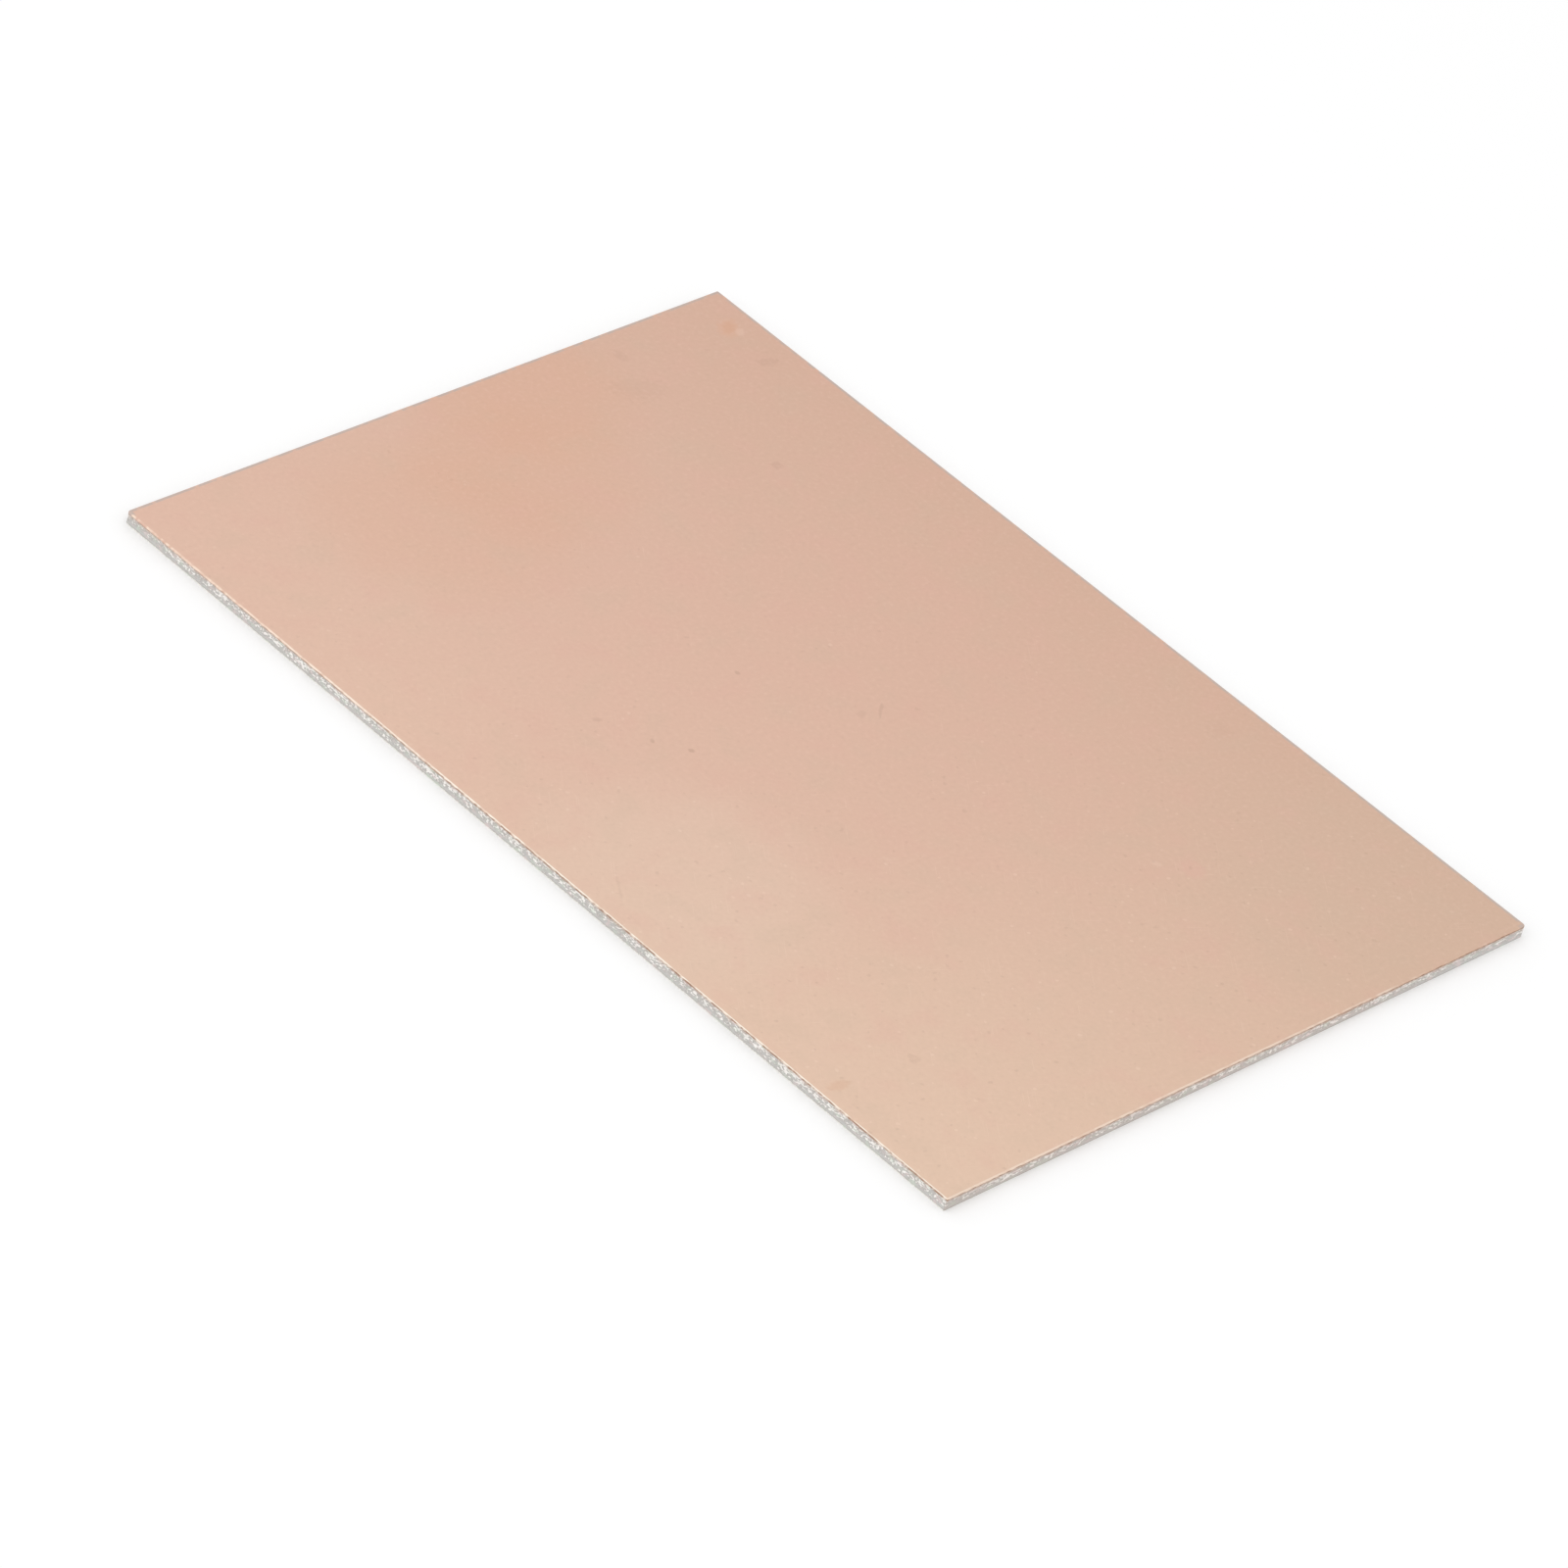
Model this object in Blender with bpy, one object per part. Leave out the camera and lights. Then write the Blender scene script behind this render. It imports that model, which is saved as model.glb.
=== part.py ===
"""Copper clad board: a sheared blank of glass-epoxy laminate with copper foil on its upper face.

The blank lies flat, foil up. The origin is at the middle of the underside, +X runs along the
long side and +Z is the board's normal. All sizes are in metres.
"""

import math

import bmesh
import bpy

# Blank
BOARD_LENGTH = 0.100
BOARD_WIDTH = 0.070
BOARD_THICKNESS = 0.0012

# Corners in plan: two stay crisp, and the two across the other diagonal are worn round
CRISP_CORNER_RADIUS = 0.00015
WORN_CORNER_RADIUS = 0.00038
TIGHTEST_RADIUS = 0.00001
CORNER_SEGMENTS = 6

# Foil, which the shear blade rolls over the top edge and leaves as a short lip
FOIL_THICKNESS = 0.000035
ROLL_RADIUS = 0.00011
LIP_HEIGHT = 0.00002
ROLL_SEGMENTS = 6

# Cut edge of the laminate: an undercut below the lip, a torn zone, a burnished land, a broken arris
UNDERCUT_DEPTH = 0.00006
UNDERCUT_HEIGHT = 0.00007
TORN_DEPTH = 0.000025
LAND_HEIGHT = 0.00033
LAND_SLOPE = 0.00003
BOTTOM_BREAK = 0.00005

# Heights that the sizes above set
ROLL_CENTRE_HEIGHT = BOARD_THICKNESS - ROLL_RADIUS
LIP_END_HEIGHT = ROLL_CENTRE_HEIGHT - LIP_HEIGHT
UNDERCUT_FLOOR_HEIGHT = LIP_END_HEIGHT - UNDERCUT_HEIGHT

# Corners of the blank, anticlockwise from above: side in X, side in Y, radius at the cut edge
CORNERS = (
    (1, -1, CRISP_CORNER_RADIUS),
    (1, 1, WORN_CORNER_RADIUS),
    (-1, 1, CRISP_CORNER_RADIUS),
    (-1, -1, WORN_CORNER_RADIUS),
)

COLLECTION_NAME = "copper_clad_board"
COPPER_COLOUR = (0.738, 0.503, 0.392, 1.0)
LAMINATE_COLOUR = (0.630, 0.597, 0.539, 1.0)
SMOOTH_ANGLE = math.radians(30)


def clear_scene():
    """Remove every object, so that the file holds only the board."""
    for item in list(bpy.data.objects):
        bpy.data.objects.remove(item, do_unlink=True)


def make_material(name, colour, metallic, roughness):
    """One plain finish on a Principled BSDF."""
    material = bpy.data.materials.new(name)
    material.use_nodes = True
    shader = material.node_tree.nodes["Principled BSDF"]
    shader.inputs["Base Color"].default_value = colour
    shader.inputs["Metallic"].default_value = metallic
    shader.inputs["Roughness"].default_value = roughness
    material.diffuse_color = colour
    return material


def outline(inset, height):
    """Points round the blank at one height, drawn in from the cut edge by inset."""
    points = []
    for quarter, (side_x, side_y, edge_radius) in enumerate(CORNERS):
        radius = max(edge_radius - inset, TIGHTEST_RADIUS)
        centre_x = side_x * (BOARD_LENGTH / 2 - inset - radius)
        centre_y = side_y * (BOARD_WIDTH / 2 - inset - radius)
        for step in range(CORNER_SEGMENTS + 1):
            angle = math.radians(90) * (quarter - 1 + step / CORNER_SEGMENTS)
            x = centre_x + radius * math.cos(angle)
            y = centre_y + radius * math.sin(angle)
            points.append((x, y, height))
    return points


def roll_arc(radius):
    """Insets and heights along a quarter turn about the roll's centre, from the edge up to the flat."""
    arc = []
    for step in range(ROLL_SEGMENTS + 1):
        angle = math.radians(90) * step / ROLL_SEGMENTS
        inset = ROLL_RADIUS - radius * math.cos(angle)
        height = ROLL_CENTRE_HEIGHT + radius * math.sin(angle)
        arc.append((inset, height))
    return arc


def foil_section():
    """The foil's edge, from its flat underside out round the lip and back to its flat top."""
    bonded_side = list(reversed(roll_arc(ROLL_RADIUS - FOIL_THICKNESS)))
    lip_end = [(FOIL_THICKNESS, LIP_END_HEIGHT), (0.0, LIP_END_HEIGHT)]
    outer_side = roll_arc(ROLL_RADIUS)
    return bonded_side + lip_end + outer_side


def laminate_section():
    """The laminate's cut edge, from the underside up to the arris that the foil is rolled over."""
    burnished_land = [
        (BOTTOM_BREAK, 0.0),
        (0.0, BOTTOM_BREAK),
        (0.0, LAND_HEIGHT),
    ]
    torn_zone = [
        (TORN_DEPTH, LAND_HEIGHT + LAND_SLOPE),
        (TORN_DEPTH, UNDERCUT_FLOOR_HEIGHT),
    ]
    undercut = [
        (UNDERCUT_DEPTH, UNDERCUT_FLOOR_HEIGHT),
        (UNDERCUT_DEPTH, LIP_END_HEIGHT),
        (FOIL_THICKNESS, LIP_END_HEIGHT),
    ]
    rolled_arris = roll_arc(ROLL_RADIUS - FOIL_THICKNESS)
    return burnished_land + torn_zone + undercut + rolled_arris


def swept_plate(name, section, material, collection):
    """A plate lofted through its edge section round the outline, with a flat face below and above."""
    mesh = bmesh.new()
    rings = [[mesh.verts.new(point) for point in outline(inset, height)] for inset, height in section]
    for lower, upper in zip(rings, rings[1:]):
        for here in range(len(lower)):
            behind = here - 1
            mesh.faces.new((lower[behind], lower[here], upper[here], upper[behind]))
    mesh.faces.new(reversed(rings[0]))
    mesh.faces.new(rings[-1])
    data = bpy.data.meshes.new(name)
    mesh.to_mesh(data)
    mesh.free()
    data.shade_smooth()
    data.set_sharp_from_angle(angle=SMOOTH_ANGLE)
    data.materials.append(material)
    plate = bpy.data.objects.new(name, data)
    collection.objects.link(plate)
    weighting = plate.modifiers.new("Flat faces stay flat", "WEIGHTED_NORMAL")
    weighting.keep_sharp = True
    return plate


def main():
    """Build the laminate and the foil that is bonded to it."""
    clear_scene()
    collection = bpy.data.collections.new(COLLECTION_NAME)
    bpy.context.scene.collection.children.link(collection)
    laminate = make_material("glass_epoxy", LAMINATE_COLOUR, metallic=0.0, roughness=0.6)
    copper = make_material("copper", COPPER_COLOUR, metallic=1.0, roughness=0.4)
    swept_plate("laminate_core", laminate_section(), laminate, collection)
    swept_plate("copper_foil", foil_section(), copper, collection)


main()
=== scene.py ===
# %% [markdown]
# # Dressing a copper clad board
#
# The board is a sheared blank: a plate of glass-epoxy laminate with a thin copper foil bonded over
# its upper face. Its solids are already packed at their real size, so this lesson starts from them
# and adds what they leave out: how the shear blade rolled the foil over the edge, how the glass
# fibres tore below it, and the finish of each surface. Everything is in metres, +Z up, with the
# board lying on the plane at height zero.

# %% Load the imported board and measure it
import math

import bmesh
import bpy
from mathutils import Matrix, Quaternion, Vector, noise


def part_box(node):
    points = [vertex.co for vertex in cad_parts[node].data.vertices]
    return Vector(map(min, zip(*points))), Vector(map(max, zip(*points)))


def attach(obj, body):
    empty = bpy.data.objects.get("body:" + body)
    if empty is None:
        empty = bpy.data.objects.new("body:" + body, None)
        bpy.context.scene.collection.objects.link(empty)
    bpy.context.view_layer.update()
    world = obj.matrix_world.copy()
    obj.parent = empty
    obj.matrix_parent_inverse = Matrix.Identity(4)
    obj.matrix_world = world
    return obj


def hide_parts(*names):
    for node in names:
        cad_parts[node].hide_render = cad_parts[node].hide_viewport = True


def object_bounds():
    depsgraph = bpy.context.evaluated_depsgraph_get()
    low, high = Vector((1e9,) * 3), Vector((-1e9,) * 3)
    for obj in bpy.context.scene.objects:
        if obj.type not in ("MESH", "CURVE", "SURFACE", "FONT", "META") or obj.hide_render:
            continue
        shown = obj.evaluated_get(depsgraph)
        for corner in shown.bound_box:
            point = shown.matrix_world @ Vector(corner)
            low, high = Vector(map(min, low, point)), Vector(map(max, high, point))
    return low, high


MM = 0.001
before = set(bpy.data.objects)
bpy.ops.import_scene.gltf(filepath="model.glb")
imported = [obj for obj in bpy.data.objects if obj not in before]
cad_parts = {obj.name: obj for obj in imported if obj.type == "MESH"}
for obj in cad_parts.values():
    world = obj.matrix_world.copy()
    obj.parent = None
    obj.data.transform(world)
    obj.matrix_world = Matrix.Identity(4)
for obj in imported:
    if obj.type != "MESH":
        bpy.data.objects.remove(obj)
cad_low, cad_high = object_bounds()
foil_low, foil_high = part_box("copper_foil")
_, core_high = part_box("laminate_core")

BOARD_LENGTH = cad_high.x - cad_low.x
BOARD_WIDTH = cad_high.y - cad_low.y
BOARD_TOP = foil_high.z
LIP_END = foil_low.z
FOIL_THICKNESS = foil_high.z - core_high.z
print(f"Board {BOARD_LENGTH / MM:.1f} x {BOARD_WIDTH / MM:.1f} x {BOARD_TOP / MM:.2f} mm,",
      f"foil {FOIL_THICKNESS / MM:.3f} mm, its lip ends at {LIP_END / MM:.2f} mm")

# %% [markdown]
# ## The camera
#
# The photograph was taken with a long lens from well above the board, so its edges stay almost
# parallel. A camera can be set by eye or worked out from the four corners of the copper face. The
# second gives one answer for direction, distance, lens and roll at once, so it is used here.

# %% Place the camera
CAMERA_AIM = Vector((4.83, -9.59, 1.2)) * MM
CAMERA_BEARING = math.radians(-53.36)
CAMERA_ELEVATION = math.radians(36.33)
CAMERA_ROLL = math.radians(15.54)
CAMERA_DISTANCE = 760.5 * MM
LENS_LENGTH = 211.2
SENSOR_WIDTH = 36.0
NEAREST_SEEN = 10 * MM

to_camera = Vector((
    math.cos(CAMERA_ELEVATION) * math.cos(CAMERA_BEARING),
    math.cos(CAMERA_ELEVATION) * math.sin(CAMERA_BEARING),
    math.sin(CAMERA_ELEVATION),
))
level_turn = (-to_camera).to_track_quat("-Z", "Y")
roll_turn = Quaternion((0, 0, 1), CAMERA_ROLL)
bpy.ops.object.camera_add(location=CAMERA_AIM + to_camera * CAMERA_DISTANCE)
camera = bpy.context.object
camera.rotation_euler = (level_turn @ roll_turn).to_euler()
camera.data.lens = LENS_LENGTH
camera.data.sensor_width = SENSOR_WIDTH
camera.data.clip_start = NEAREST_SEEN
bpy.context.scene.camera = camera
bpy.context.scene.view_settings.view_transform = "Standard"
print(f"Camera {camera.location / MM} mm, lens {LENS_LENGTH} mm")

# %% [markdown]
# ## Writing a shader as arithmetic
#
# A procedural finish is mostly sums: this mask times that one, one minus the other. Wiring each
# Math node by hand hides the sum, so a small class wraps a socket and lets Python's own operators
# add the nodes. A second class holds a material's nodes, and one method adds any other node. The
# few that come up again and again, such as noise, a soft step and a mix, have names of their own.

# %% Helpers for shaders
class Value:
    """A number from one socket, on which + - * and / add Math nodes."""

    def __init__(self, finish, socket):
        self.finish = finish
        self.socket = socket

    def __add__(self, other):
        return self.finish.math("ADD", self, other)

    def __radd__(self, other):
        return self.finish.math("ADD", other, self)

    def __sub__(self, other):
        return self.finish.math("SUBTRACT", self, other)

    def __rsub__(self, other):
        return self.finish.math("SUBTRACT", other, self)

    def __mul__(self, other):
        return self.finish.math("MULTIPLY", self, other)

    def __rmul__(self, other):
        return self.finish.math("MULTIPLY", other, self)

    def __truediv__(self, other):
        return self.finish.math("DIVIDE", self, other)

    def output(self, name):
        """Another output of the node that this value comes from."""
        return Value(self.finish, self.socket.node.outputs[name])


class Finish:
    """The node tree of one material or world, built up by expressions."""

    def __init__(self, owner):
        owner.use_nodes = True
        self.owner = owner
        self.tree = owner.node_tree
        self.tree.nodes.clear()

    def node(self, kind, settings=None, sockets=None, output=0):
        """Add a node, set its settings, then its sockets, and give back one of its outputs."""
        made = self.tree.nodes.new(kind)
        for name, setting in (settings or {}).items():
            setattr(made, name, setting)
        for name, value in (sockets or {}).items():
            if isinstance(value, Value):
                self.tree.links.new(value.socket, made.inputs[name])
            else:
                made.inputs[name].default_value = value
        return Value(self, made.outputs[output]) if len(made.outputs) else None

    def math(self, operation, *values):
        """A Math node on one, two or three values."""
        return self.node("ShaderNodeMath", {"operation": operation}, dict(enumerate(values)))

    def least(self, first, second):
        """The smaller of two values."""
        return self.math("MINIMUM", first, second)

    def greatest(self, first, second):
        """The larger of two values."""
        return self.math("MAXIMUM", first, second)

    def step(self, value, start, end):
        """A soft step from 0 at start to 1 at end, which may be the smaller of the two."""
        settings = {"interpolation_type": "SMOOTHSTEP"}
        return self.node("ShaderNodeMapRange", settings, {0: value, 1: start, 2: end})

    def place(self, size=(1.0, 1.0, 1.0), turn=0.0, middle=(0.0, 0.0, 0.0)):
        """Where a point is from a middle, turned about Z, counted in a size. All in millimetres."""
        raw = self.node("ShaderNodeTexCoord", output="Object")
        return self.node("ShaderNodeMapping", {"vector_type": "TEXTURE"}, {
            "Vector": raw,
            "Location": [part * MM for part in middle],
            "Rotation": (0.0, 0.0, turn),
            "Scale": [part * MM for part in size],
        })

    def cloud(self, size, detail=2.0, seed=0, turn=0.0, flat=False):
        """Soft noise about 0.5, in lumps of one size or of three, in millimetres."""
        lump = size if isinstance(size, tuple) else (size, size, size)
        where = self.place(lump, turn, (17.0 * seed, 11.0 * seed, 0.0))
        settings = {"noise_dimensions": "2D" if flat else "3D"}
        return self.node("ShaderNodeTexNoise", settings, {
            "Vector": where,
            "Scale": 1.0,
            "Detail": detail,
        })

    def blend(self, factor, first, second):
        """Two colours mixed by a factor. A colour is a socket or four numbers."""
        settings = {"data_type": "RGBA"}
        return self.node("ShaderNodeMix", settings, {0: factor, 6: first, 7: second}, output=2)

    def along(self, x_share, y_share):
        """A distance in millimetres along a direction in the board's plane."""
        raw = self.node("ShaderNodeTexCoord", output="Object")
        direction = (x_share / MM, y_share / MM, 0.0)
        settings = {"operation": "DOT_PRODUCT"}
        return self.node("ShaderNodeVectorMath", settings, {0: raw, 1: direction}, output="Value")

    def attribute(self, name):
        """A number that the mesh carries."""
        return self.node("ShaderNodeAttribute", {"attribute_name": name}, output="Fac")

    def bump(self, height, strength, distance):
        """A normal tilted by a height, with distance in metres."""
        return self.node("ShaderNodeBump", {}, {
            "Height": height,
            "Strength": strength,
            "Distance": distance,
        })


def colour(red, green, blue):
    """A colour as a shader takes it, from the red, green and blue that a screen shows."""
    def linear(level):
        share = level / 255
        return share / 12.92 if share <= 0.04045 else ((share + 0.055) / 1.055) ** 2.4

    return (linear(red), linear(green), linear(blue), 1.0)


def new_finish(name):
    """A new material, ready for expressions."""
    return Finish(bpy.data.materials.new(name))


print("Shader helpers are ready")

# %% [markdown]
# ## Light and floor
#
# The board was shot in a bright tent: white all round, a broad light above, and another towards
# the long near edge, which is the brighter of the two that show. The world is plain white wherever
# the camera, a mirror or glass looks, and a little dimmer as a light. The floor is white to the
# same three where they see it from above, and it takes the board's shadow. From below, and to the
# light that the board gathers, it is clear, so that a view from below sees a lit underside.

# %% Light the board
ROOM_BRIGHTNESS = 0.92
TOP_LAMP_PLACE = Vector((0.05, 0.10, 0.90))
TOP_LAMP_SIZE = 0.70
TOP_LAMP_WATTS = 0.4
EDGE_LAMP_PLACE = Vector((-0.10, -0.72, 0.62))
EDGE_LAMP_SIZE = 0.70
EDGE_LAMP_WATTS = 1.0
FLOOR_SIZE = 6.0
FLOOR_DROP = 0.01 * MM
PLAIN_WHITE = (1.0, 1.0, 1.0, 1.0)
PAPER_WHITE = colour(254, 254, 254)


def add_soft_lamp(name, place, size, watts):
    """A square lamp that faces the board."""
    bpy.ops.object.light_add(type="AREA", location=place)
    lamp = bpy.context.object
    lamp.name = name
    lamp.rotation_euler = (-place).to_track_quat("-Z", "Y").to_euler()
    lamp.data.size = size
    lamp.data.energy = watts


def looked_at(finish):
    """1 to the camera, to mirrors and through glass, and 0 to the light that a surface gathers."""
    path = finish.node("ShaderNodeLightPath")
    mirrored = finish.greatest(path.output("Is Glossy Ray"), path.output("Is Transmission Ray"))
    return finish.greatest(path.output("Is Camera Ray"), mirrored)


def build_room(world):
    """White where it is looked at, and a dimmer white as a light."""
    room = Finish(world)
    strength = ROOM_BRIGHTNESS + (1.0 - ROOM_BRIGHTNESS) * looked_at(room)
    light = room.node("ShaderNodeBackground", {}, {"Color": PLAIN_WHITE, "Strength": strength})
    room.node("ShaderNodeOutputWorld", {}, {"Surface": light})


def build_floor():
    """A white floor that is there only where it is looked at, and only from above."""
    bpy.ops.object.select_all(action="DESELECT")
    bpy.ops.mesh.primitive_plane_add(size=FLOOR_SIZE, location=(0, 0, -FLOOR_DROP))
    floor = bpy.context.object
    floor.name = "studio_floor"
    paper = new_finish("white_floor")
    white = paper.node("ShaderNodeBsdfDiffuse", {}, {"Color": PAPER_WHITE})
    clear = paper.node("ShaderNodeBsdfTransparent")
    below = paper.node("ShaderNodeNewGeometry", output="Backfacing")
    share = looked_at(paper) * (1.0 - below)
    shown = paper.node("ShaderNodeMixShader", {}, {0: share, 1: clear, 2: white})
    paper.node("ShaderNodeOutputMaterial", {}, {"Surface": shown})
    floor.data.materials.append(paper.owner)


add_soft_lamp("top_lamp", TOP_LAMP_PLACE, TOP_LAMP_SIZE, TOP_LAMP_WATTS)
add_soft_lamp("edge_lamp", EDGE_LAMP_PLACE, EDGE_LAMP_SIZE, EDGE_LAMP_WATTS)
studio = bpy.data.worlds.new("white_tent")
bpy.context.scene.world = studio
build_room(studio)
build_floor()
print("Two lamps, a white tent and a floor")

# %% [markdown]
# ## The blank's outline
#
# Both pieces have the same outline: a rectangle with two crisp corners and two that are worn round.
# It starts as a grid, because a face as large as the board would be cut into slivers by a renderer.
# The grid's corners are bevelled in plan and only its rim is cut fine, to steps as short as the
# fibres that show there. From then on it can be extruded and inset like any face.

# %% Start a blank from a grid
CRISP_CORNER = 0.15 * MM
WORN_CORNER = 0.38 * MM
CORNER_STEPS = 6
CORNER_MARGIN = 0.01 * MM
TILES_ALONG = 20
TILES_ACROSS = 14
RIM_CUTS = 39
SHORTEST_CUT_EDGE = 1 * MM


def in_edit_mode(piece):
    """Open a piece for editing."""
    bpy.context.view_layer.objects.active = piece
    bpy.ops.object.mode_set(mode="EDIT")


def select_where(piece, kind, is_wanted):
    """Select the vertices, edges or faces of a piece in edit mode that pass a test."""
    bpy.ops.mesh.select_mode(type=kind)
    bpy.ops.mesh.select_all(action="DESELECT")
    mesh = bmesh.from_edit_mesh(piece.data)
    elements = {"VERT": mesh.verts, "EDGE": mesh.edges, "FACE": mesh.faces}[kind]
    for element in elements:
        if is_wanted(element):
            element.select_set(True)
    mesh.select_flush_mode()
    bmesh.update_edit_mesh(piece.data)


def round_corners(piece, sign, radius):
    """Round two opposite corners of a blank. Where sign is 1, x and y have the same sign there."""
    reach = BOARD_LENGTH / 2 + BOARD_WIDTH / 2 - CORNER_MARGIN
    select_where(
        piece, "VERT",
        lambda vertex: sign * vertex.co.x * vertex.co.y > 0
        and abs(vertex.co.x) + abs(vertex.co.y) > reach,
    )
    bpy.ops.mesh.bevel(offset=radius, segments=CORNER_STEPS, affect="VERTICES")


def start_blank(name, height):
    """A flat blank at a height with its corners shaped and its rim cut fine, left in edit mode."""
    bpy.ops.object.select_all(action="DESELECT")
    bpy.ops.mesh.primitive_grid_add(
        x_subdivisions=TILES_ALONG,
        y_subdivisions=TILES_ACROSS,
        size=1.0,
        location=(0, 0, height),
    )
    blank = bpy.context.object
    blank.name = name
    blank.data.name = name
    blank.scale = (BOARD_LENGTH, BOARD_WIDTH, 1.0)
    bpy.ops.object.transform_apply(location=True, rotation=True, scale=True)
    in_edit_mode(blank)
    round_corners(blank, 1, WORN_CORNER)
    round_corners(blank, -1, CRISP_CORNER)
    select_where(
        blank, "EDGE",
        lambda edge: edge.is_boundary and edge.calc_length() > SHORTEST_CUT_EDGE,
    )
    bpy.ops.mesh.subdivide(number_cuts=RIM_CUTS)
    select_where(blank, "FACE", lambda face: True)
    return blank


def outward(x, y):
    """The direction straight out of the cut edge at a point near it, as x and y."""
    corner = WORN_CORNER if x * y > 0 else CRISP_CORNER
    past_x = abs(x) - (BOARD_LENGTH / 2 - corner)
    past_y = abs(y) - (BOARD_WIDTH / 2 - corner)
    if past_x > 0 and past_y > 0:
        reach = math.hypot(past_x, past_y)
        return math.copysign(past_x / reach, x), math.copysign(past_y / reach, y)
    if past_x > past_y:
        return math.copysign(1.0, x), 0.0
    return 0.0, math.copysign(1.0, y)


print("Outline helpers are ready")

# %% [markdown]
# ## The foil, rolled over the sheared edge
#
# Foil is far softer than the laminate under it, so the blade drags it down over the top edge
# before it parts. That leaves a small round, which glints, and a short ragged lip. The outer skin
# is raised from the lip's end: one extrusion for the lip, a row of insets for the quarter round,
# and one flat inset that keeps the shading of the face flat. Solidify, applied once the roll is
# worn, gives it the foil's real thickness.

# %% Raise the foil's outer skin
ROLL_RADIUS = 0.11 * MM
ROLL_STEPS = 6
FLAT_RIM = 0.03 * MM


def raise_face(rise):
    """Extrude the selected faces straight up."""
    bpy.ops.mesh.extrude_region_move(TRANSFORM_OT_translate={"value": (0.0, 0.0, rise)})


def roll_face_in(radius, steps):
    """Take the selected top up and in along a quarter round."""
    for step in range(steps):
        start = math.radians(90) * step / steps
        end = math.radians(90) * (step + 1) / steps
        inward = radius * (math.cos(start) - math.cos(end))
        upward = radius * (math.sin(end) - math.sin(start))
        bpy.ops.mesh.inset(thickness=inward, depth=upward)


foil = start_blank("rolled_copper_foil", LIP_END)
raise_face(BOARD_TOP - ROLL_RADIUS - LIP_END)
roll_face_in(ROLL_RADIUS, ROLL_STEPS)
bpy.ops.mesh.inset(thickness=FLAT_RIM, depth=0.0)
select_where(foil, "FACE", lambda face: face.normal.z < -0.5)
bpy.ops.mesh.delete(type="FACE")
bpy.ops.object.mode_set(mode="OBJECT")
print(f"Foil skin: {len(foil.data.polygons)} faces")

# %% [markdown]
# ## How the cut varies round the board
#
# No sheared edge is even. Each side met the blade in its own way, the cut is calm at the far end of
# the near short side, the lip is short and clean at the right of the long sides, and the board was
# dragged on one worn corner. A few small functions of place say all this once, for the foil and the
# laminate alike. The unevenness itself is noise, with a size and a seed for each kind.

# %% Say where the edge is rough, calm or clean
DRAGGED_CORNER = Vector((-BOARD_LENGTH / 2, -BOARD_WIDTH / 2))
DRAGGED_REACH = 16 * MM
CALM_FROM = 12 * MM
CALM_TO = 28 * MM
CLEAN_FROM = -10 * MM
CLEAN_TO = 30 * MM
FACING = 0.7
WORKED_BAND = 1 * MM

# Each side's rubbed roll with its painted highlight, broken glass bundles in mm, brown smear and
# painted shade under the lip, and painted warm bounce light below it
NEAR_LONG_SIDE = (1.00, 0.75, 0.25, 0.02)
NEAR_SHORT_SIDE = (0.36, 1.60, 0.76, 0.24)
FAR_LONG_SIDE = (0.0, 0.75, 0.25, 0.02)
FAR_SHORT_SIDE = (0.0, 1.60, 0.40, 0.10)


def on_long_side(x, y):
    """Whether a point near the edge belongs to a long side."""
    out_x, out_y = outward(x, y)
    return abs(out_y) > abs(out_x)


def side_at(x, y):
    """The numbers of the side that a point near the edge belongs to."""
    if on_long_side(x, y):
        return NEAR_LONG_SIDE if y < 0 else FAR_LONG_SIDE
    return NEAR_SHORT_SIDE if x > 0 else FAR_SHORT_SIDE


def ramp(value, start, end):
    """0 below start, 1 above end, smooth between."""
    share = min(1.0, max(0.0, (value - start) / (end - start)))
    return share * share * (3 - 2 * share)


def calmness(x, y):
    """1 where the cut was smooth, at the far end of the near short side, falling to 0 along it."""
    return ramp(y, CALM_FROM, CALM_TO) if x > 0 else 0.0


def cleanness(x, y):
    """1 where the lip is short and clean, at the long sides' right, falling to 0 leftwards."""
    return ramp(x, CLEAN_FROM, CLEAN_TO) if abs(outward(x, y)[1]) > FACING else 0.0


def dragged(x, y):
    """1 at the dragged corner, falling to 0 a short way along its edges."""
    reach = (Vector((x, y)) - DRAGGED_CORNER).length / DRAGGED_REACH
    return max(0.0, 1.0 - reach)


def wave(x, y, size, seed):
    """Smooth noise from -1 to 1 at a place in the board's plane, in lumps of a size in metres."""
    return noise.noise(Vector((x / size, y / size, seed)))


def inside(x, y):
    """How far inside the cut edge a point is."""
    return min(BOARD_LENGTH / 2 - abs(x), BOARD_WIDTH / 2 - abs(y))


print(f"Drag reaches {DRAGGED_REACH / MM:.0f} mm from its corner")

# %% [markdown]
# ## Dents and burrs along the roll
#
# The roll is pressed in here and there, and its lip is torn to different lengths. Moving the
# vertices by a noise that is a function of their place does this once for the whole rim. Two vertex
# attributes are for the finish to read: how far round the edge a vertex is, counted from the flat,
# and how bright the roll is there, burnished by the blade and with a painted highlight on top. The
# highlight is painted most on the near long edge, less on the near short edge, and not at all on
# the two far edges.

# %% Work out the wear of the roll
DENT_DEPTH = 0.016 * MM
LIP_TEAR = 0.028 * MM
LIP_LIFT = 0.030 * MM
TENTH = 0.1 * MM

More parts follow.
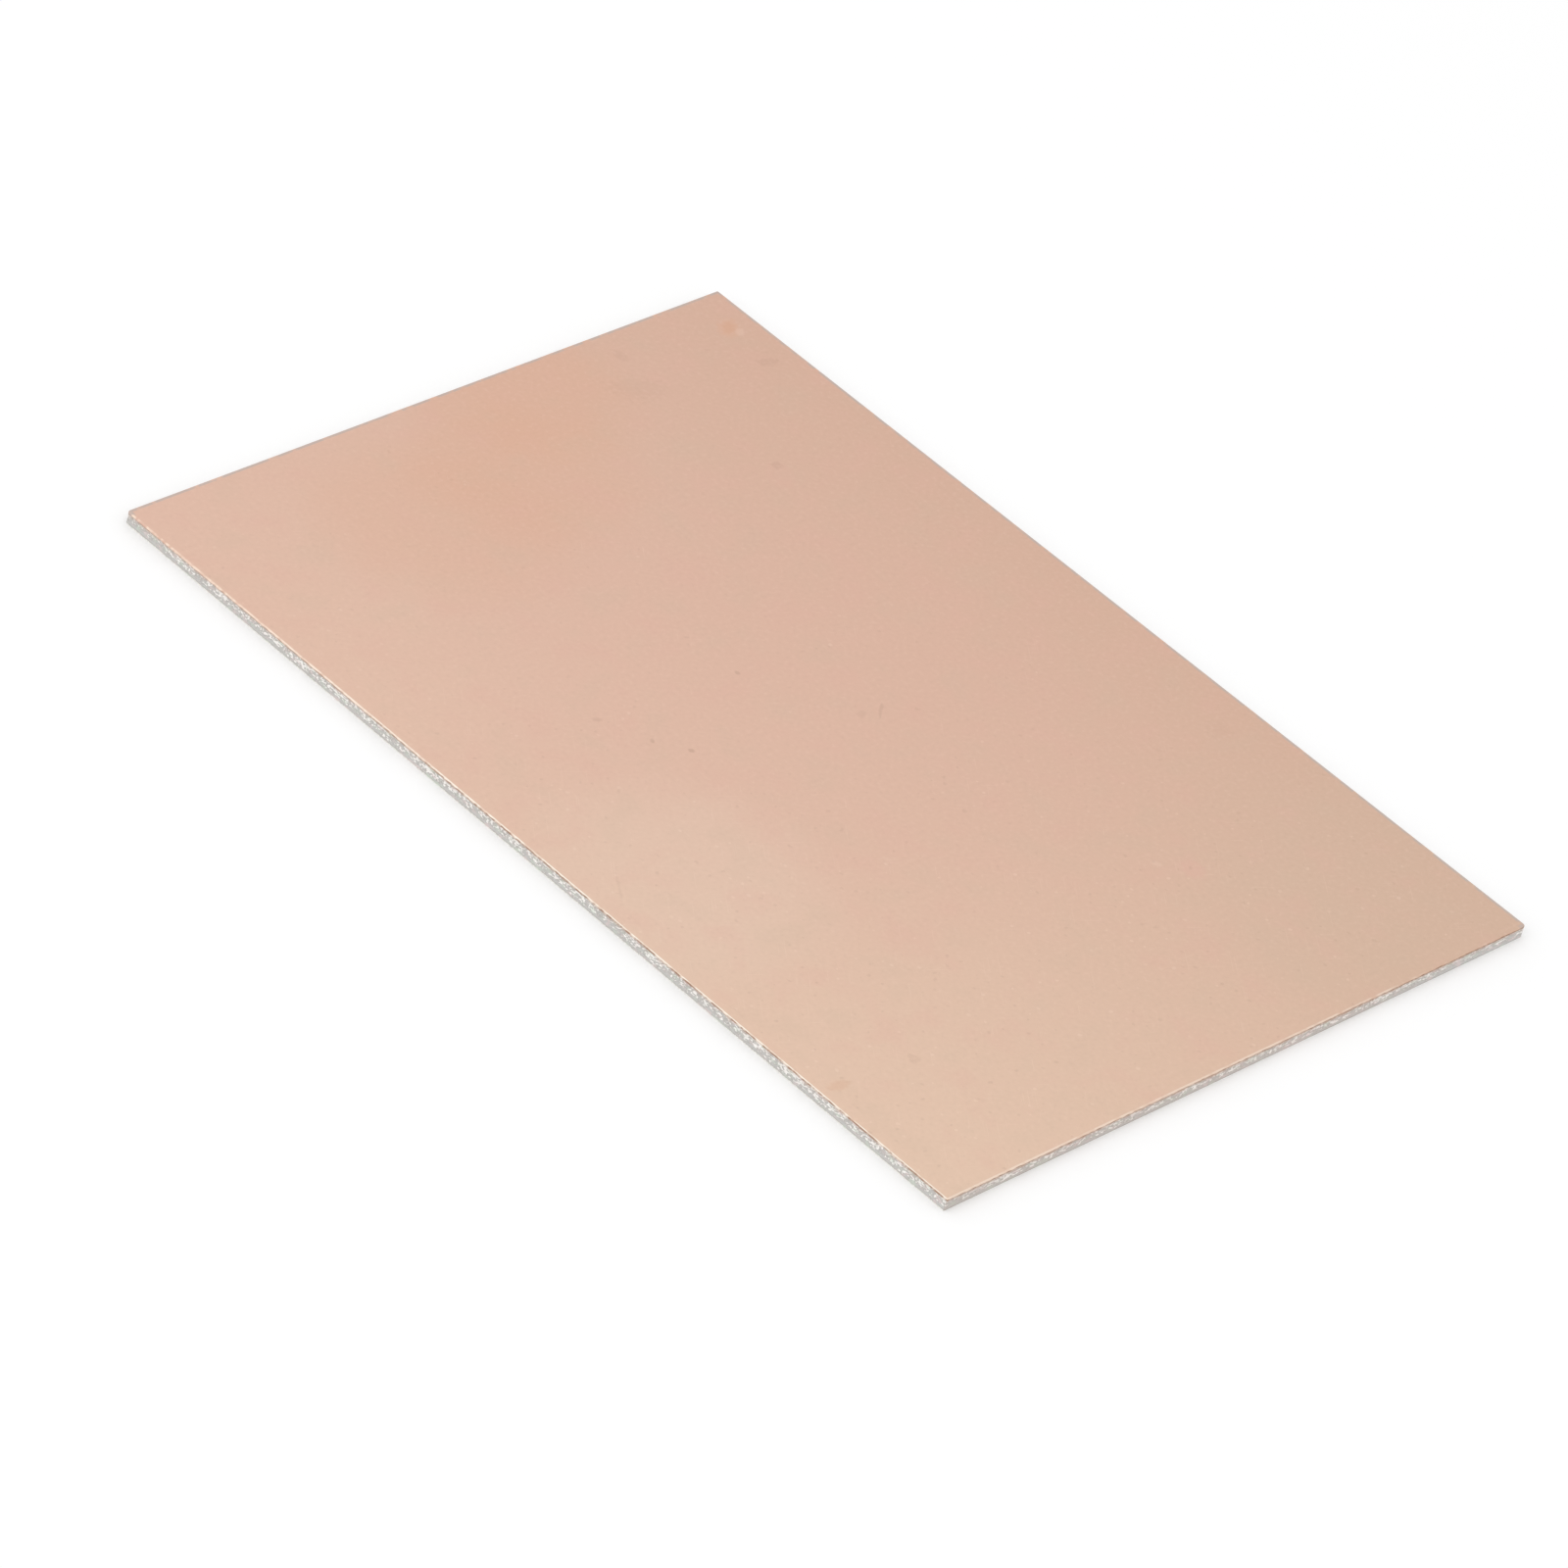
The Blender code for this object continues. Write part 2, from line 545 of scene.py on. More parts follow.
# Size and seed of each kind of unevenness on the foil
LONG_DENTS = (1.7 * MM, 3.0)
SHORT_DENTS = (0.34 * MM, 7.0)
LIP_TEARS = (0.5 * MM, 11.0)
DRAGGED_TEARS = (0.3 * MM, 0.0)
BROWN_STRAYS = (0.6 * MM, 15.0)
DRAGGED_STRAYS = (0.4 * MM, 19.0)
RUBBED_AND_LIT_PATCHES = (1.1 * MM, 23.0)
RUBBED_AND_LIT_FLECKS = (0.36 * MM, 27.0)


def pressed_in(x, y, over):
    """How far the roll is dented. Over is 0 on the flat and 1 at the end of the round."""
    long_dent = max(0.0, wave(x, y, *LONG_DENTS))
    short_dent = max(0.0, wave(x, y, *SHORT_DENTS))
    dent = 0.6 * long_dent + (0.5 + 1.6 * dragged(x, y)) * short_dent
    return DENT_DEPTH * min(1.0, over) * dent


def lip_rise(x, y, over):
    """How much shorter the lip is torn, as a rise of its end."""
    tear = wave(x, y, *LIP_TEARS) + 1.2 * dragged(x, y) * wave(x, y, *DRAGGED_TEARS)
    rise = LIP_TEAR * tear + LIP_LIFT * cleanness(x, y)
    return rise * min(1.0, over) ** 3


def way_round(z):
    """How far a height on the foil is down its roll and lip, in tenths of a millimetre."""
    sine = max(0.0, 1.0 - (BOARD_TOP - z) / ROLL_RADIUS)
    round_part = ROLL_RADIUS * math.acos(min(1.0, sine))
    lip_part = max(0.0, BOARD_TOP - ROLL_RADIUS - z)
    return (round_part + lip_part) / TENTH


def brown_shift(x, y):
    """How much earlier on its way round the foil turns brown, in tenths of a millimetre."""
    drag = dragged(x, y)
    stray = 0.60 * wave(x, y, *BROWN_STRAYS) + 1.4 * drag * wave(x, y, *DRAGGED_STRAYS)
    if on_long_side(x, y):
        return 1.6 * x / BOARD_LENGTH - drag + stray
    return 0.3 * y / BOARD_WIDTH - 0.5 + stray


def roll_burnish_and_highlight(x, y):
    """How bright the roll is: burnished by the blade, with a painted highlight over it."""
    drag = dragged(x, y)
    ragged = 1.1 * wave(x, y, *RUBBED_AND_LIT_PATCHES)
    ragged += (0.6 + 1.4 * drag) * wave(x, y, *RUBBED_AND_LIT_FLECKS)
    even = 1.0 - 0.9 * drag - calmness(x, y)
    even -= 0.0 if on_long_side(x, y) else 0.7 * y / BOARD_WIDTH
    return side_at(x, y)[0] * min(1.1, max(0.0, even + ragged))


print(f"Dents to {DENT_DEPTH / MM:.3f} mm, tears to {LIP_TEAR / MM:.3f} mm")

# %% Roughen the roll and give the foil its thickness
FOIL_SHARP_ANGLE = 50


def roughen_roll(piece):
    """Press dents into the roll, tear its lip and record the two attributes."""
    rolled = piece.data.attributes.new("rolled", "FLOAT", "POINT")
    rubbed_and_lit = piece.data.attributes.new("rubbed_and_lit", "FLOAT", "POINT")
    for vertex, round_mark, lit_rub_mark in zip(piece.data.vertices, rolled.data, rubbed_and_lit.data):
        x, y, z = vertex.co
        if inside(x, y) > WORKED_BAND:
            continue
        over = (BOARD_TOP - z) / ROLL_RADIUS
        press = pressed_in(x, y, over)
        height = min(z + lip_rise(x, y, over), BOARD_TOP - 0.3 * press)
        out_x, out_y = outward(x, y)
        vertex.co = (x - out_x * press, y - out_y * press, height)
        round_mark.value = way_round(z) + brown_shift(x, y) * min(1.0, 4.0 * over)
        lit_rub_mark.value = roll_burnish_and_highlight(x, y)


def make_active(piece):
    """Make a piece the one that an operator works on."""
    bpy.ops.object.select_all(action="DESELECT")
    piece.select_set(True)
    bpy.context.view_layer.objects.active = piece


def thicken(piece, thickness):
    """Give a skin its thickness, inwards."""
    solidify = piece.modifiers.new("Thickness", "SOLIDIFY")
    solidify.thickness = thickness
    solidify.offset = -1.0
    solidify.use_even_offset = True
    make_active(piece)
    bpy.ops.object.modifier_apply(modifier=solidify.name)


def smooth_by_angle(piece, degrees):
    """Shade a piece smooth, with edges kept sharp past an angle."""
    make_active(piece)
    bpy.ops.object.shade_smooth_by_angle(angle=math.radians(degrees))


roughen_roll(foil)
thicken(foil, FOIL_THICKNESS)
smooth_by_angle(foil, FOIL_SHARP_ANGLE)
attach(foil, "root")
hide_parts("copper_foil")
print(f"Foil: {len(foil.data.polygons)} faces")

# %% [markdown]
# ## The laminate and its sheared edge
#
# Below the lip the edge has four zones, from the top: a shadowed undercut where resin broke away,
# a torn zone where the glass bundles snapped at different depths, a smoother land that the blade
# burnished, and a small broken arris. The wall is raised in thin rows, so that there is a vertex
# wherever a bundle can stand out, and then each row is pressed back by its zone's own relief.

# %% Raise the laminate in rows
BOTTOM_BREAK = 0.05 * MM
LAND_TOP = 0.33 * MM
TORN_TOP = 1.00 * MM
LAND_ROWS = 4
TORN_ROWS = 14
UNDERCUT_ROWS = 3
HIDDEN_ROLL_STEPS = 2
UNDER_FOIL_GAP = 0.004 * MM


def raise_rows(start, end, rows):
    """Extrude the selected faces from one height to another in equal rows."""
    for _ in range(rows):
        raise_face((end - start) / rows)


laminate = start_blank("sheared_laminate", BOTTOM_BREAK)
raise_rows(BOTTOM_BREAK, LAND_TOP, LAND_ROWS)
raise_rows(LAND_TOP, TORN_TOP, TORN_ROWS)
raise_rows(TORN_TOP, LIP_END, UNDERCUT_ROWS)
raise_face(BOARD_TOP - ROLL_RADIUS - LIP_END)
roll_face_in(ROLL_RADIUS - FOIL_THICKNESS - UNDER_FOIL_GAP, HIDDEN_ROLL_STEPS)
select_where(laminate, "FACE", lambda face: face.normal.z < -0.5)
bpy.ops.mesh.inset(thickness=BOTTOM_BREAK, depth=BOTTOM_BREAK)
bpy.ops.object.mode_set(mode="OBJECT")
print(f"Laminate: {len(laminate.data.polygons)} faces")

# %% [markdown]
# ## Tearing the fibres
#
# Real glass cloth breaks in bundles that lie along the edge and in small chips. Long, flat noise
# gives the bundles, cells give the chips, and each vertex also gets a whiteness: broken glass ends
# scatter light and look white, while bare resin is greyer. The long edges cut across the thicker
# yarns, so they break into shorter pieces than the short edges do. The finish reads the whiteness,
# so the white flecks sit exactly where the relief stands out. Brown is painted in the undercut and
# just under it, in dashes, partly dirt and partly painted shade under the lip, and a painted warm
# bounce light lies over the near short side.

# %% Work out the relief of the edge
UNDERCUT_DEPTH = 0.062 * MM
TORN_DEPTH = 0.030 * MM
CHIP_DEPTH = 0.044 * MM
BUNDLE_HEIGHT = 0.020 * MM
GRAIN_DEPTH = 0.010 * MM
LAND_DEPTH = 0.004 * MM
DEEPEST = 0.085 * MM
LEAST_WHITE = 0.04

# Sizes of the glass pattern in mm: its sway along and up, its rows, its chips and its grain
SWAY_LENGTH = 1.3
SWAY_HEIGHT = 0.9
SWAY_REACH = 0.20
ROW_HEIGHT = 0.18
CHIP_HEIGHT = 0.17
CHIP_SHARE = 0.30
GRAIN_LENGTH = 0.23
GRAIN_HEIGHT = 0.14

# Size and seed of each kind of unevenness on the laminate
TORN_LINE = (1.9 * MM, 5.0)
TORN_BLUR = (0.8 * MM, 9.0)
UNDERCUT_LINE = (0.7 * MM, 13.0)
UNDERCUT_NICKS = (0.23 * MM, 17.0)
DRAG_LINES = (0.21 * MM, 21.0)
SMEAR_AND_SHADE_WAVES = (0.9 * MM, 25.0)
GRIME_AND_SHADE_DASHES = (0.50 * MM, 29.0)


def glass_pattern(across, along, high, bundle_length):
    """Bundle, chip and grain of the broken glass at a place. All are in millimetres."""
    place = Vector((across / SWAY_LENGTH, along / SWAY_LENGTH, high / SWAY_HEIGHT))
    level = high + SWAY_REACH * noise.noise(place)
    place = Vector((across / bundle_length, along / bundle_length, level / ROW_HEIGHT))
    bundle = ramp(1.0 - abs(noise.noise(place)), 0.78, 0.97)
    chip_length = CHIP_SHARE * bundle_length
    place = Vector((across / chip_length, along / chip_length, level / CHIP_HEIGHT))
    _, cells = noise.voronoi(place)
    chip = 0.5 + 0.5 * noise.cell(cells[0] * 9.7)
    grain = noise.noise(Vector((across / GRAIN_LENGTH, along / GRAIN_LENGTH, high / GRAIN_HEIGHT)))
    return bundle, chip, grain


def torn_and_undercut(x, y, high):
    """How torn and how undercut the edge is at a place, from 0 to 1."""
    torn_from = 0.22 + 0.14 * wave(x, y, *TORN_LINE)
    torn = ramp(high, torn_from, torn_from + 0.24 + 0.14 * wave(x, y, *TORN_BLUR))
    floor = 1.005 + 0.045 * cleanness(x, y)
    floor += 0.035 * wave(x, y, *UNDERCUT_LINE) + 0.020 * wave(x, y, *UNDERCUT_NICKS)
    return torn, ramp(high, floor - 0.02, floor + 0.015)


def whiteness(x, y, high, bundle, chip, grain):
    """How white the torn glass is, from nearly 0 to 1. It is greyer where the cut was calm."""
    calm = max(calmness(x, y), dragged(x, y))
    white = (1.0 - 0.7 * calm) * (1.2 * (chip - 0.5) + 1.5 * grain) + 0.35 * (bundle - 0.5)
    white += 0.38 + 0.5 * (high - 0.70)
    return min(1.0, max(LEAST_WHITE, white))


def brown_dirt_and_shade(x, y, high, undercut):
    """How brown the edge is painted: dirt and painted shade in the undercut and smeared below it,
    and a painted warm bounce light, most on the near short side.
    """
    _, _, smear_and_shade, warm_bounce = side_at(x, y)
    smear_and_shade += 0.28 * dragged(x, y) - 0.15 * calmness(x, y) + 0.45 * wave(x, y, *SMEAR_AND_SHADE_WAVES)
    # Painted warm bounce light over the wall, most on the near short side and less where the cut
    # was calm.
    warm_bounce *= 1 - 0.8 * calmness(x, y)
    # Dashes of dirt and painted shade in the undercut, fewer where the lip is clean.
    grime_and_shade = 0.85 + 1.2 * wave(x, y, *GRIME_AND_SHADE_DASHES) - 0.3 * cleanness(x, y)
    grime_and_shade = min(1.0, max(0.0, grime_and_shade))
    return max(undercut * grime_and_shade, warm_bounce, smear_and_shade * ramp(high, 0.62, 1.02))


def edge_relief(x, y, z):
    """How far the edge stands back at a place on it, how white the glass is and how brown."""
    high = z / MM
    bundle_length = side_at(x, y)[1]
    bundle, chip, grain = glass_pattern(x / MM, y / MM, high, bundle_length)
    torn, undercut = torn_and_undercut(x, y, high)
    depth = TORN_DEPTH + CHIP_DEPTH * (0.5 - chip) - BUNDLE_HEIGHT * bundle + GRAIN_DEPTH * grain
    drag_line = LAND_DEPTH * (0.5 + wave(x, y, *DRAG_LINES))
    depth = drag_line + (depth - drag_line) * torn
    depth += (UNDERCUT_DEPTH - depth) * undercut
    white = whiteness(x, y, high, bundle, chip, grain) * torn * (1 - undercut)
    return min(DEEPEST, max(0.0, depth)), white, brown_dirt_and_shade(x, y, high, undercut)


print(f"Edge relief to {DEEPEST / MM:.3f} mm")

# %% Press the relief into the edge
CRUSHED_WHITE = 0.90
CRUSHED_TOP = 0.15 * MM
FOIL_FROM = LIP_END - 0.1 * UNDER_FOIL_GAP
FLAT_TO = BOTTOM_BREAK * 0.99
LAMINATE_SHARP_ANGLE = 40


def tear_edge(piece):
    """Press the edge's relief into every vertex of the wall, and record its whiteness and its brown
    of dirt and painted shade.
    """
    glass = piece.data.attributes.new("glass", "FLOAT", "POINT")
    dirt_and_shade = piece.data.attributes.new("dirt_and_shade", "FLOAT", "POINT")
    for vertex, glass_mark, dirt_and_shade_mark in zip(piece.data.vertices, glass.data, dirt_and_shade.data):
        x, y, z = vertex.co
        if z >= FOIL_FROM:
            press = FOIL_THICKNESS + UNDER_FOIL_GAP
        elif z <= FLAT_TO:
            press = 0.0
        else:
            press, glass_mark.value, dirt_and_shade_mark.value = edge_relief(x, y, z)
            if on_long_side(x, y):
                glass_mark.value += CRUSHED_WHITE * (1 - ramp(z, BOTTOM_BREAK, CRUSHED_TOP))
        if inside(x, y) < WORKED_BAND:
            out_x, out_y = outward(x, y)
            vertex.co = (x - out_x * press, y - out_y * press, z)


tear_edge(laminate)
smooth_by_angle(laminate, LAMINATE_SHARP_ANGLE)
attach(laminate, "root")
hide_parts("laminate_core")
print(f"Torn edge: {len(laminate.data.vertices)} vertices")

# %% [markdown]
# ## Bare copper
#
# Untouched copper foil is a pale satin pink. Its tone drifts evenly over the board, warmer and
# paler towards the near long edge, where the paler tone is a painted sheen of the light from that
# side. Air and fingers add a few faint patches, a stain by one corner and a scatter of specks and
# hairlines, most of them towards the near right; the light specks are painted glints. Each of these
# is a mask over the drift of tone, so the colours, places and strengths come first, as plain lists.

# %% Choose the copper's colours and marks
FAR_LEFT = colour(214, 177, 157)
FAR_RIGHT = colour(213, 178, 157)
NEAR_LEFT = colour(224, 188, 169)
NEAR_RIGHT = colour(226, 197, 175)
WARM_COPPER = colour(220, 174, 148)
GREEN_COPPER = colour(206, 183, 161)
PINK_COPPER = colour(222, 177, 162)
PALE_COPPER = colour(227, 202, 182)
DARK_COPPER = colour(163, 126, 108)
STAIN_BROWN = colour(204, 143, 100)
BRIGHT_COPPER = colour(250, 226, 210)

# Broad patches: place and size in mm, colour, strength
PATCHES = (
    (-47, 8, 8, WARM_COPPER, 0.38),
    (-38, 0, 8, WARM_COPPER, 0.32),
    (-36, -11, 9, WARM_COPPER, 0.26),
    (-2, -2, 24, PINK_COPPER, 0.20),
    (44, 30, 16, GREEN_COPPER, 0.30),
    (10, -27, 10, PALE_COPPER, 0.35),
)

# Small marks: place, half length and half width in mm, turn in degrees, colour, strength
MARKS = (
    (-45.3, 31.9, 1.25, 0.85, -50, WARM_COPPER, 0.42),
    (-45.3, 31.9, 0.75, 0.50, -50, STAIN_BROWN, 0.15),
    (-44.4, 32.4, 0.50, 0.35, -50, BRIGHT_COPPER, 0.14),
    (-39.9, 31.5, 0.9, 0.45, 70, DARK_COPPER, 0.12),
    (-46.8, 19.9, 0.7, 0.5, 0, DARK_COPPER, 0.09),
    (-42.3, 17.9, 2.4, 1.2, 60, DARK_COPPER, 0.05),
    (-28.2, 21.4, 0.50, 0.40, 0, DARK_COPPER, 0.16),
    (-27.0, 20.7, 1.6, 1.0, -30, PINK_COPPER, 0.20),
    (1.6, 5.1, 0.9, 0.14, -50, DARK_COPPER, 0.16),
    (1.2, 3.2, 0.5, 0.30, -70, DARK_COPPER, 0.10),
    (3.0, 8.2, 0.20, 0.20, 0, DARK_COPPER, 0.12),
    (-8.2, -2.6, 0.24, 0.18, 0, DARK_COPPER, 0.22),
    (-2.3, -13.6, 0.24, 0.20, 30, DARK_COPPER, 0.26),
    (-4.9, -15.7, 0.28, 0.18, -40, DARK_COPPER, 0.26),
    (-9.3, -18.0, 0.40, 0.22, 60, DARK_COPPER, 0.16),
    (15.0, 1.9, 0.22, 0.22, 0, DARK_COPPER, 0.14),
    (36.1, -25.0, 0.45, 0.40, 0, DARK_COPPER, 0.12),
    (35.4, -32.9, 0.9, 0.45, 80, STAIN_BROWN, 0.16),
    (7.9, -31.6, 1.6, 0.12, -35, DARK_COPPER, 0.08),
    (17.9, 30.4, 1.0, 0.8, 0, DARK_COPPER, 0.04),
    (30.4, 14.1, 1.0, 0.9, 0, PINK_COPPER, 0.35),
    (28.2, 11.8, 0.45, 0.25, 30, BRIGHT_COPPER, 0.14),
)
print(f"{len(PATCHES)} patches and {len(MARKS)} marks")

# %% Make masks for marks, scratches and specks
PATCH_SOFTNESS = 0.6
MARK_SOFTNESS = 0.5
SPECK_SPACING = 1.1
SCRATCH_LENGTH = 4.0
SCRATCH_WIDTH = 0.09
SCRATCH_FADE = 0.04


def oval_mask(finish, middle, half_size, degrees, softness, ragged):
    """1 inside an oval on the face, 0 outside, with a soft ragged rim. Sizes are in millimetres."""
    x, y = middle
    half_length, half_width = half_size
    cos, sin = math.cos(math.radians(degrees)), math.sin(math.radians(degrees))
    length_part = finish.along(cos / half_length, sin / half_length)
    width_part = finish.along(-sin / half_width, cos / half_width)
    length_part = length_part - (cos * x + sin * y) / half_length
    width_part = width_part - (cos * y - sin * x) / half_width
    reach = length_part * length_part + width_part * width_part + ragged
    return finish.step(reach, (1.0 + softness) ** 2, (1.0 - softness) ** 2)


def hairlines(finish, degrees, seed, level):
    """Fine straight scratches in one direction, drawn by noise pulled out along it."""
    lump = (SCRATCH_LENGTH, SCRATCH_WIDTH, 1.0)
    line = finish.cloud(lump, detail=0.0, seed=seed, turn=math.radians(degrees), flat=True)
    return finish.step(line, level, level + SCRATCH_FADE)


def specks(finish, radius, share, seed, ragged):
    """Small ragged dots in a share of the cells of an even spacing."""
    size = (SPECK_SPACING, SPECK_SPACING, 1.0)
    cell = finish.node("ShaderNodeTexVoronoi", {"voronoi_dimensions": "2D"}, {
        "Vector": finish.place(size, 0.4 * seed, (3.0 * seed, 5.0 * seed, 0.0)),
        "Scale": 1.0,
    })
    chance = finish.node("ShaderNodeSeparateColor", {}, {"Color": cell.output("Color")})
    chosen = finish.step(chance, 1.0 - share, 1.02 - share)
    size = radius / SPECK_SPACING * (0.6 + 0.8 * chance.output("Green"))
    return chosen * (1.0 - finish.step(cell / size + ragged, 0.5, 1.0))


print("Masks are ready")

# %% Lay the tone, the marks and the specks
def face_tone(finish):
    """The drift of tone over the face, with a painted sheen towards the near edge, its broad
    patches and faint mottle.
    """
    across = finish.along(MM / BOARD_LENGTH, 0.0) + 0.5
    down = 0.5 - finish.along(0.0, MM / BOARD_WIDTH)
    # Paler and warmer near than far: a painted sheen of the light from the near side.
    far = finish.blend(across, FAR_LEFT, FAR_RIGHT)
    near = finish.blend(across, NEAR_LEFT, NEAR_RIGHT)
    tone = finish.blend(down, far, near)
    ragged = 1.1 * (finish.cloud(6.0, seed=3, flat=True) - 0.5)
    for x, y, size, patch_colour, strength in PATCHES:
        mask = oval_mask(finish, (x, y), (size, size), 0, PATCH_SOFTNESS, ragged)
        tone = finish.blend(mask * strength, tone, patch_colour)
    tint = finish.cloud(4.5, seed=5, flat=True)
    tone = finish.blend(finish.step(tint, 0.5, 0.8) * 0.16, tone, GREEN_COPPER)
    return finish.blend(finish.step(tint, 0.5, 0.2) * 0.20, tone, PINK_COPPER)


def with_grain(finish, tone, grain):
    """The tone with the foil's fine rolled grain, which lightens and darkens it a little."""
    tone = finish.blend(finish.step(grain, 0.50, 0.85) * 0.10, tone, BRIGHT_COPPER)
    return finish.blend(finish.step(grain, 0.50, 0.15) * 0.07, tone, DARK_COPPER)


def with_marks(finish, tone, rim):
    """The tone with each small mark on it, and how stained the copper is."""
    stain = 0.0
    for x, y, half_length, half_width, turn, mark_colour, strength in MARKS:
        mask = oval_mask(finish, (x, y), (half_length, half_width), turn, MARK_SOFTNESS, rim)
        mask = mask * strength
        tone = finish.blend(mask, tone, mark_colour)
        if mark_colour in (STAIN_BROWN, DARK_COPPER):
            stain = mask + stain
    return tone, finish.least(stain, 1.0)


def with_specks(finish, tone, rim):
    """The tone with pits, painted glints and hairlines, most where the face was worked, and the
    pits.
    """
    drift = finish.cloud(9.0, seed=11, flat=True) + finish.along(0.004, -0.004)
    worked = finish.step(drift, 0.40, 0.68)
    pits = specks(finish, radius=0.15, share=0.16, seed=2, ragged=rim) * (0.25 + 0.75 * worked)
    # Glints are painted highlights: small bumps that catch the light, laid in as bright copper.
    painted_glints = specks(finish, radius=0.16, share=0.10, seed=5, ragged=rim) * (0.20 + 0.80 * worked)
    lines = finish.greatest(hairlines(finish, -38, 2, 0.83), hairlines(finish, 62, 6, 0.84))
    tone = finish.blend(pits * 0.12, tone, DARK_COPPER)
    tone = finish.blend(painted_glints * 0.19, tone, BRIGHT_COPPER)
    return finish.blend(lines * worked * 0.14, tone, BRIGHT_COPPER), pits


print("Tone, marks and specks are ready")

# %% [markdown]
# ## The copper's edge
#
# The blade burnished the roll bright on top, and over that a highlight is painted, warmer in tone
# towards the dragged corner. The lip below it is painted brown, partly dirt and partly painted
# shade under the roll. Along the two far sides the last third of a millimetre is a dull grey of
# painted shade.
# How far a place is from the edge is worked out from its coordinates, because the face has large
# tiles, and an attribute would smear across them. Roughness follows the stains and the edge.

# %% Finish the copper
BURNISH_HIGHLIGHT_LEFT = colour(247, 222, 204)
BURNISH_HIGHLIGHT_RIGHT = colour(255, 245, 232)
FAR_RIM_SHADE = colour(189, 178, 173)
LIP_DIRT_AND_SHADE = colour(170, 137, 117)
HALF_LENGTH = BOARD_LENGTH / 2 / MM
HALF_WIDTH = BOARD_WIDTH / 2 / MM
COPPER_GRAIN_DEPTH = 0.002 * MM


def with_edges(finish, tone):
    """The tone with far rims in painted shade, a burnished roll with a painted highlight and a lip
    brown with dirt and painted shade, and the roll and the lip.
    """
    x, y = finish.along(1.0, 0.0), finish.along(0.0, 1.0)
    length_inside = HALF_LENGTH - finish.math("ABSOLUTE", x)
    width_inside = HALF_WIDTH - finish.math("ABSOLUTE", y)
    flat_left = 10.0 * (finish.least(length_inside, width_inside) - ROLL_RADIUS / MM)
    far_short = finish.step(x + HALF_LENGTH, 1.0, 0.5)
    far_long = finish.step(HALF_WIDTH - y, 1.0, 0.5)
    patchy = finish.step(finish.cloud(1.2, seed=17, flat=True), 0.28, 0.55)
    # Painted shade: a dull grey along the two far rims.
    far_rim_shade = finish.step(flat_left, 3.0, 1.5) * finish.greatest(far_short, far_long) * patchy
    tone = finish.blend(far_rim_shade * 0.70, tone, FAR_RIM_SHADE)
    rolled = finish.attribute("rolled")
    # Painted highlight: the roll's bright colour stands for the light it catches, over the real
    # burnish.
    roll = finish.step(rolled - flat_left, -0.9, -0.1) * finish.attribute("rubbed_and_lit")
    leftness = finish.step(x, 10.0, -HALF_LENGTH)
    bright = finish.blend(leftness, BURNISH_HIGHLIGHT_RIGHT, BURNISH_HIGHLIGHT_LEFT)
    tone = finish.blend(roll * 0.90, tone, bright)
    # The lip's brown is partly dirt and partly painted shade under the roll.
    lip = finish.step(rolled, 0.45, 1.10)
    grime_and_shade = finish.step(finish.cloud(0.55, detail=1.0, seed=15), 0.32, 0.62)
    brown = lip * (0.35 + 0.65 * grime_and_shade) * (1.0 - 0.5 * leftness)
    return finish.blend(brown, tone, LIP_DIRT_AND_SHADE), roll, lip


def build_copper():
    """The finish of the foil."""
    finish = new_finish("bare_copper")
    grain = finish.cloud(0.45, detail=3.0, seed=7, flat=True)
    rim = 2.6 * (grain - 0.5)
    tone = with_grain(finish, face_tone(finish), grain)
    tone, stain = with_marks(finish, tone, rim)
    tone, pits = with_specks(finish, tone, rim)
    tone, roll, lip = with_edges(finish, tone)
    surface = finish.node("ShaderNodeBsdfPrincipled", {}, {
        "Base Color": tone,
        "Metallic": 1.0 - 0.5 * stain,
        "Roughness": 0.40 + 0.08 * (grain - 0.5) + 0.20 * stain - 0.10 * roll + 0.25 * lip,
        "Normal": finish.bump(grain - 0.8 * pits, 0.30, COPPER_GRAIN_DEPTH),
    })
    finish.node("ShaderNodeOutputMaterial", {}, {"Surface": surface})
    return finish.owner


foil.data.materials.append(build_copper())
print(f"Copper finish: {len(foil.data.materials[0].node_tree.nodes)} nodes")

# %% [markdown]
# ## Glass and epoxy
#
# The torn edge is a mix of white glass ends, grey resin and a breath of green and pink where light
# comes through. The burnished land below is smoother and darker, most of all along its bottom. The
# underside is cast resin over woven cloth: nearly smooth, straw green, with the weave just showing
# through. All three are one material that reads height and the attributes made above.

# %% Finish the laminate
RESIN_GREY = colour(184, 180, 175)
GLASS_WHITE = colour(253, 250, 245)
LAND_GREY = colour(199, 197, 194)
LAND_DARK = colour(177, 175, 172)
GREEN_TINT = colour(204, 216, 200)
PINK_TINT = colour(230, 208, 206)
UNDERCUT_DIRT_AND_SHADE = colour(186, 149, 127)
UNDERSIDE_STRAW = colour(203, 204, 180)
UNDERSIDE_THREAD = colour(214, 214, 196)
WARP_PITCH = 0.58
WEFT_PITCH = 0.81
GLASS_GRAIN_DEPTH = 0.010 * MM


